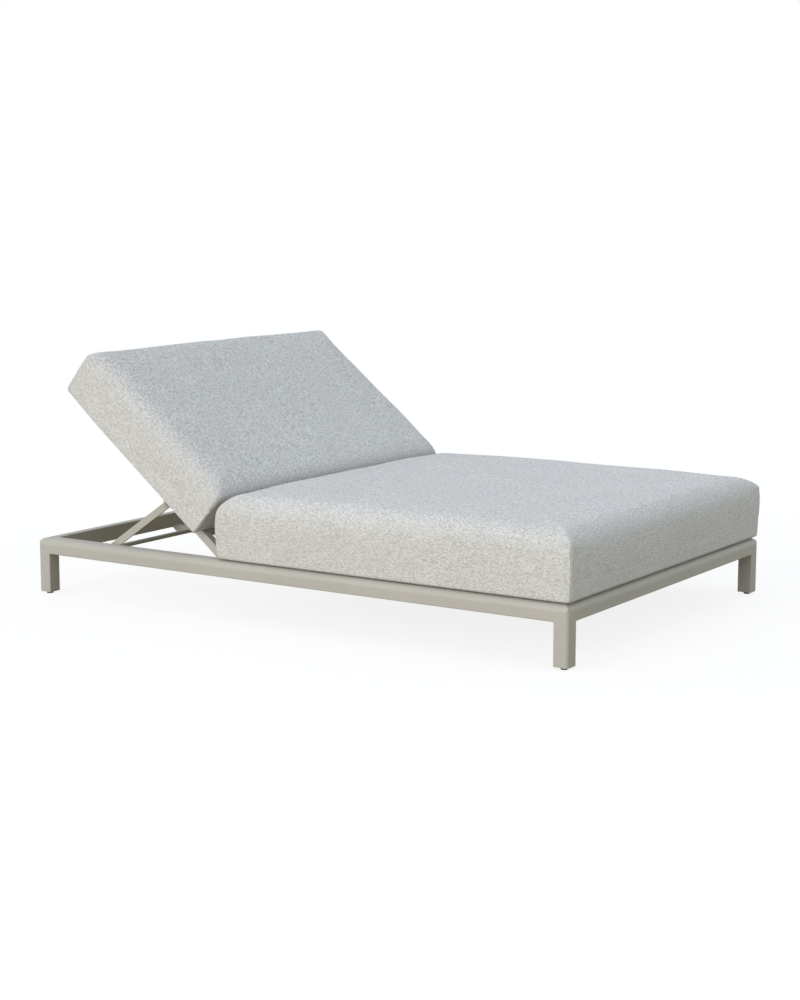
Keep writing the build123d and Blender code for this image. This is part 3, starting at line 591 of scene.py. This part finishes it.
def cushions():
    """The seat cushion, and the back cushion that leans with the back frame."""
    low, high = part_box("seat_cushion")
    room = Vector((SWELL, SWELL, 0))
    low += Vector((-SEAT_HEAD_REACH, -SEAT_SIDE_REACH, 0)) + room
    high += Vector((SEAT_FOOT_REACH, SEAT_SIDE_REACH, -SEAT_SINK - SWELL)) - room
    edges = (SEAT_HEAD_EDGE, SEAT_FOOT_EDGE, SEAT_SIDE_EDGE)
    seat = Form(low, high, SEAT_END_DROP, SEAT_CROWN, edges)
    stuffed("seat_cushion_cover", seat, MATERIALS["seat_fabric"], FLAT, "frame", "seat_cushion")
    low, high = flat_box("back_cushion", BACK_PLACE)
    low += Vector((-BACK_END_REACH, -BACK_SIDE_REACH, 0)) + room
    high += Vector((BACK_END_REACH, BACK_SIDE_REACH, -BACK_SINK - SWELL)) - room
    edges = (BACK_UPPER_EDGE, BACK_LOWER_EDGE, BACK_SIDE_EDGE)
    back = Form(low, high, BACK_END_DROP, BACK_CROWN, edges, BACK_DROOP)
    stuffed("back_cushion_cover", back, MATERIALS["back_fabric"], BACK_PLACE,
            "back_cushion", "back_cushion")


# Welds and screws

def solids(node, place=FLAT):
    """The lowest and highest corner of each solid of a node, in the axes of the body that it lies on."""
    inverse = place.inverted()
    mesh = bmesh.new()
    mesh.from_mesh(NODES[node].data)
    bmesh.ops.remove_doubles(mesh, verts=mesh.verts, dist=SAME_PLACE)
    seen, boxes = set(), []
    for start in mesh.verts:
        if start in seen:
            continue
        points, waiting = [], [start]
        seen.add(start)
        while waiting:
            vertex = waiting.pop()
            points.append(inverse @ vertex.co)
            found = {edge.other_vert(vertex) for edge in vertex.link_edges} - seen
            seen |= found
            waiting.extend(found)
        boxes.append(corners_of(points))
    mesh.free()
    return boxes


def corners_of(points):
    """The lowest and highest corner of a cloud of points."""
    low = Vector([min(point[axis] for point in points) for axis in range(3)])
    high = Vector([max(point[axis] for point in points) for axis in range(3)])
    return low, high


def flat_box(node, place):
    """A node's lowest and highest corners in the flat axes of the body that it lies on."""
    inverse = place.inverted()
    return corners_of([inverse @ vertex.co for vertex in NODES[node].data.vertices])


def worked(name, points, edges, tree, sizes, finish, body, place=FLAT, facings=None):
    """A piece that a node tree makes from points or paths, as a plain mesh on its body."""
    mesh = bpy.data.meshes.new(name)
    mesh.from_pydata([place @ Vector(point) for point in points], edges, [])
    if facings:
        kept = mesh.attributes.new("facing", "FLOAT_VECTOR", "POINT")
        kept.data.foreach_set("vector", [part for facing in facings for part in facing])
    made = bpy.data.objects.new(name, mesh)
    bpy.context.scene.collection.objects.link(made)
    modifier = made.modifiers.new("nodes", "NODES")
    modifier.node_group = tree
    inputs = {item.name: item.identifier for item in tree.interface.items_tree if item.in_out == "INPUT"}
    for key, value in {**sizes, "Finish": MATERIALS[finish]}.items():
        modifier[inputs[key]] = value
    solid = bpy.data.meshes.new_from_object(made.evaluated_get(bpy.context.evaluated_depsgraph_get()))
    solid.name = name
    made.modifiers.remove(modifier)
    made.data = solid
    solid.polygons.foreach_set("use_smooth", [True] * len(solid.polygons))
    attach(made, body)
    return made


def node_tree(name, sizes, build):
    """A Geometry Nodes tree with named inputs; `build` makes its shape from them."""
    tree = bpy.data.node_groups.new(name, "GeometryNodeTree")
    tree.interface.new_socket("Shape", in_out="OUTPUT", socket_type="NodeSocketGeometry")
    tree.interface.new_socket("Shape", in_out="INPUT", socket_type="NodeSocketGeometry")
    for size in sizes:
        tree.interface.new_socket(size, in_out="INPUT", socket_type="NodeSocketFloat")
    tree.interface.new_socket("Finish", in_out="INPUT", socket_type="NodeSocketMaterial")
    entry = tree.nodes.new("NodeGroupInput")
    given = {socket.name: Flow(tree, socket) for socket in entry.outputs if socket.name}
    flow = Flow(tree)
    shape = flow.node("GeometryNodeRealizeInstances", {}, {"Geometry": build(flow, given)})
    shape = flow.node("GeometryNodeSetMaterial", {}, {"Geometry": shape, "Material": given["Finish"]})
    flow.node("NodeGroupOutput", {}, {"Shape": shape})
    return tree


def bead_shape(flow, given):
    """A rippled round bead along every path."""
    path = flow.node("GeometryNodeMeshToCurve", {}, {"Mesh": given["Shape"]})
    path = flow.node("GeometryNodeResampleCurve", {"mode": "LENGTH"},
                     {"Curve": path, "Length": given["Step"]})
    run = flow.node("GeometryNodeSplineParameter", {}, {}, "Length")
    wave = (run.maths("DIVIDE", given["Ripple length"]) * pi).maths("SINE").maths("ABSOLUTE")
    path = flow.node("GeometryNodeSetCurveRadius", {},
                     {"Curve": path, "Radius": wave * given["Ripple"] + 1})
    round_wire = flow.node("GeometryNodeCurvePrimitiveCircle", {},
                           {"Resolution": BEAD_SIDES, "Radius": given["Radius"]})
    return flow.node("GeometryNodeCurveToMesh", {},
                     {"Curve": path, "Profile Curve": round_wire, "Fill Caps": True})


def screw_shape(flow, given):
    """A button head with a six-sided socket at every point, facing as the point's attribute says."""
    dome = flow.node("GeometryNodeMeshUVSphere", {}, {
        "Segments": SCREW_SEGMENTS, "Rings": SCREW_SEGMENTS // 2, "Radius": given["Radius"]})
    flat = flow.node("ShaderNodeCombineXYZ", {}, {
        "X": 1.0, "Y": 1.0, "Z": given["Height"].maths("DIVIDE", given["Radius"])})
    dome = flow.node("GeometryNodeTransform", {}, {"Geometry": dome, "Scale": flat})
    socket = flow.node("GeometryNodeMeshCylinder", {}, {
        "Vertices": SOCKET_SIDES, "Radius": given["Socket radius"], "Depth": given["Socket depth"] * 2})
    top = flow.node("ShaderNodeCombineXYZ", {}, {"Z": given["Height"]})
    socket = flow.node("GeometryNodeTransform", {}, {"Geometry": socket, "Translation": top})
    head = flow.node("GeometryNodeMeshBoolean", {"operation": "DIFFERENCE"},
                     {"Mesh 1": dome, "Mesh 2": socket})
    facing = flow.node("GeometryNodeInputNamedAttribute", {"data_type": "FLOAT_VECTOR"},
                       {"Name": "facing"})
    turn = flow.node("FunctionNodeAlignRotationToVector", {"axis": "Z"}, {"Vector": facing})
    return flow.node("GeometryNodeInstanceOnPoints", {}, {
        "Points": given["Shape"], "Instance": head, "Rotation": turn})


def joined(paths):
    """The points and edges of several open paths, or of closed ones where a path ends where it starts."""
    points, edges = [], []
    for path in paths:
        closed = path[0] == path[-1]
        first, kept = len(points), path[:-1] if closed else path
        points.extend(kept)
        edges.extend((first + i, first + i + 1) for i in range(len(kept) - 1))
        if closed:
            edges.append((first + len(kept) - 1, first))
    return points, edges


def end_beads(low, high, top):
    """Beads round both ends of a cross member, down one side, under it and up the other."""
    paths = []
    for y in (low.y, high.y):
        paths.append([(low.x, y, top), (low.x, y, low.z), (high.x, y, low.z), (high.x, y, top)])
    return paths


def frame_beads():
    """Beads inside the frame's corners, at its legs, cross members and slat ledges."""
    side_low, side_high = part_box("side_rail_left")
    end_low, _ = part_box("foot_rail")
    leg_low, leg_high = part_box("leg_foot_left")
    x, y = end_low.x, side_low.y
    paths = []
    for turn_x in (-1, 1):
        for turn_y in (-1, 1):
            paths.append([(turn_x * x, turn_y * y, side_low.z + BEAD_RADIUS),
                          (turn_x * x, turn_y * y, side_high.z - BEAD_RADIUS)])
            paths.append([(turn_x * (leg_high.x - BEAD_RADIUS), turn_y * leg_low.y, leg_high.z),
                          (turn_x * leg_low.x, turn_y * leg_low.y, leg_high.z),
                          (turn_x * leg_low.x, turn_y * (leg_high.y - BEAD_RADIUS), leg_high.z)])
    low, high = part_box("hinge_rail")
    paths.extend(end_beads(low, high, side_high.z - BEAD_RADIUS))
    for node in ("slat_ledge_left", "slat_ledge_right"):
        low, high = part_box(node)
        edge = high.y if high.y > 0 else low.y
        count = round((high.x - low.x) / STITCH_SPACING)
        for i in range(count):
            middle = low.x + (high.x - low.x) * (i + 0.5) / count
            paths.append([(middle - STITCH_WELD / 2, edge, low.z), (middle + STITCH_WELD / 2, edge, low.z)])
    return paths


def back_beads():
    """Beads at the back's slats, corners, spine and prop lugs, in the back's flat axes."""
    paths = []
    spine_low, spine_high = flat_box("back_spine", BACK_PLACE)
    top_low, top_high = flat_box("back_top_tube", BACK_PLACE)
    for low, high in solids("back_slats", BACK_PLACE):
        paths.extend(end_beads(low, high, high.z - BEAD_RADIUS))
        for y in (spine_low.y, spine_high.y):
            paths.append([(low.x + BEAD_RADIUS, y, low.z), (high.x - BEAD_RADIUS, y, low.z)])
    for y in (top_low.y, top_high.y):
        paths.append([(top_high.x, y, top_low.z + BEAD_RADIUS), (top_high.x, y, top_high.z - BEAD_RADIUS)])
    for node in ("prop_lug_left", "prop_lug_right"):
        low, high = flat_box(node, BACK_PLACE)
        for y in (low.y, high.y):
            paths.append([(low.x + BEAD_RADIUS, y, high.z), (high.x - BEAD_RADIUS, y, high.z)])
    return paths


def bar_beads():
    """A ring of weld where the prop's cross bar runs into each arm."""
    low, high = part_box("prop_cross_bar")
    middle, radius = (low + high) / 2, (high.z - low.z) / 2
    turns = [2 * pi * i / RING_STEPS for i in range(RING_STEPS)]
    paths = []
    for node in ("prop_arm_left", "prop_arm_right"):
        arm_low, arm_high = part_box(node)
        y = arm_low.y if arm_low.y > 0 else arm_high.y
        ring = [(middle.x + radius * cos(turn), y, middle.z + radius * sin(turn)) for turn in turns]
        paths.append(ring + ring[:1])
    return paths


def ground_welds():
    """A smooth ground weld round the top of each leg, flush with the leg and the rails above it."""
    points, faces = [], []
    for node in ("leg_head_left", "leg_head_right", "leg_foot_left", "leg_foot_right"):
        top = max(vertex.co.z for vertex in NODES[node].data.vertices)
        plan = [vertex.co.to_2d() for vertex in NODES[node].data.vertices if top - vertex.co.z < SAME_LEVEL]
        outline = [plan[i] for i in geometry.convex_hull_2d(plan)]
        low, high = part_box(node)
        middle, half = ((low + high) / 2).to_2d(), (high.x - low.x) / 2
        bottom, crest = top - GROUND_WELD_BELOW, top + GROUND_WELD_ABOVE
        levels = ((bottom, 0.0), (bottom + GROUND_WELD_EASE, GROUND_WELD_PROUD),
                  (crest - GROUND_WELD_EASE, GROUND_WELD_PROUD), (crest, 0.0))
        first, count = len(points), len(outline)
        for height, proud in levels:
            points.extend((*(middle + (spot - middle) * (1 + proud / half)), height) for spot in outline)
        last = len(points) - count
        for start in range(first, last, count):
            for n in range(count):
                m = (n + 1) % count
                faces.append((start + n, start + m, start + count + m, start + count + n))
        faces.append([first + n for n in range(count)][::-1])
        faces.append([last + n for n in range(count)])
    made = piece("leg_ground_welds", points, faces, MATERIALS["frame_paint"])
    made.data.polygons.foreach_set("use_smooth", [False] * len(made.data.polygons))
    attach(made, "frame")


def fastenings():
    """Every weld bead and screw head that the solids leave out."""
    ground_welds()
    bead = node_tree("weld bead", ("Radius", "Step", "Ripple", "Ripple length"), bead_shape)
    sizes = {"Radius": BEAD_RADIUS, "Step": BEAD_STEP, "Ripple": RIPPLE, "Ripple length": RIPPLE_LENGTH}
    worked("frame_weld_beads", *joined(frame_beads()), bead, sizes, "frame_paint", "frame")
    worked("back_weld_beads", *joined(back_beads()), bead, sizes, "frame_paint", "back_frame", BACK_PLACE)
    worked("prop_weld_beads", *joined(bar_beads()), bead, sizes, "frame_paint", "prop_bail")

    screw = node_tree("button head", ("Radius", "Height", "Socket radius", "Socket depth"), screw_shape)
    sizes = {"Radius": SCREW_RADIUS, "Height": SCREW_HEIGHT, "Socket radius": SOCKET_RADIUS,
             "Socket depth": SOCKET_DEPTH}
    places, facings = [], []
    for node in ("slat_ledge_left", "slat_ledge_right"):
        ledge_low, ledge_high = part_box(node)
        for low, high in solids("seat_slats"):
            places.append(((low.x + high.x) / 2, (ledge_low.y + ledge_high.y) / 2, low.z - LEDGE_THICK))
            facings.append((0, 0, -1))
    worked("slat_screws", places, [], screw, sizes, "stainless", "frame", facings=facings)
    places, facings = [], []
    for node in ("prop_rack_left", "prop_rack_right"):
        low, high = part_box(node)
        face, inward = (low.y, -1) if low.y > 0 else (high.y, 1)
        for share in RACK_SCREW_SHARES:
            places.append((low.x + (high.x - low.x) * share, face, low.z + RACK_SCREW_RISE))
            facings.append((0, inward, 0))
    sizes["Height"] = RACK_SCREW_HEIGHT
    worked("rack_screws", places, [], screw, sizes, "stainless", "frame", facings=facings)


# Light, floor and camera

def studio():
    """A pale floor, soft light from the front left, and the photograph's camera."""
    half = FLOOR_SIZE / 2
    floor = piece("floor", [(-half, -half, 0), (half, -half, 0), (half, half, 0), (-half, half, 0)],
                  [(0, 1, 2, 3)], MATERIALS["floor"])

    world = bpy.data.worlds.new("studio")
    bpy.context.scene.world = world
    world.use_nodes = True
    world.node_tree.nodes.clear()
    flow = Flow(world.node_tree)
    path = flow.node("ShaderNodeLightPath", {}, {})
    outputs = path.socket.node.outputs
    seen = Flow(flow.tree, outputs["Is Camera Ray"]) + Flow(flow.tree, outputs["Is Glossy Ray"])
    seen = (seen + Flow(flow.tree, outputs["Is Transmission Ray"])).between(0, 1)
    direction = flow.node("ShaderNodeTexCoord", {}, {}, "Generated")
    height = flow.node("ShaderNodeSeparateXYZ", {}, {0: direction}, "Z")
    sky = height.between(0, SKY_TURN).blend(opaque(SKY_LOW), opaque(SKY_HIGH))
    light = seen.blend(sky, (1, 1, 1, 1))
    glow = flow.node("ShaderNodeBackground", {}, {"Color": light, "Strength": 1.0})
    flow.node("ShaderNodeOutputWorld", {}, {"Surface": glow})

    lamp = bpy.data.lights.new("soft sun", "SUN")
    lamp.energy, lamp.angle, lamp.color = SUN_STRENGTH, radians(SUN_ANGLE), SUN_COLOUR
    sun = bpy.data.objects.new("soft sun", lamp)
    sun.rotation_mode = "QUATERNION"
    sun.rotation_quaternion = Vector(SUN_FROM).to_track_quat("Z", "Y")
    bpy.context.scene.collection.objects.link(sun)

    lens = bpy.data.cameras.new("camera")
    lens.sensor_width, lens.lens = SENSOR, SENSOR * LENS_SHARE
    camera = bpy.data.objects.new("camera", lens)
    camera.location = CAMERA_PLACE
    turn, rise = radians(CAMERA_AZIMUTH), radians(CAMERA_ELEVATION)
    back = Vector((sin(turn) * cos(rise), -cos(turn) * cos(rise), sin(rise)))
    camera.rotation_mode = "QUATERNION"
    camera.rotation_quaternion = (-back).to_track_quat("-Z", "Y")
    bpy.context.scene.collection.objects.link(camera)
    bpy.context.scene.camera = camera
    bpy.context.scene.view_settings.view_transform = "Standard"


def dress_nodes():
    """Gives every CAD node the finish of its slot in the record."""
    slots = {part["node"]: part["material_slot"] for part in frame["record"]["subparts"]}
    for name, node in NODES.items():
        finish = {"cushion_fabric": "seat_fabric"}.get(slots[name], slots[name])
        node.data.materials.clear()
        node.data.materials.append(MATERIALS[finish])


dress_nodes()
cushions()
fastenings()
studio()
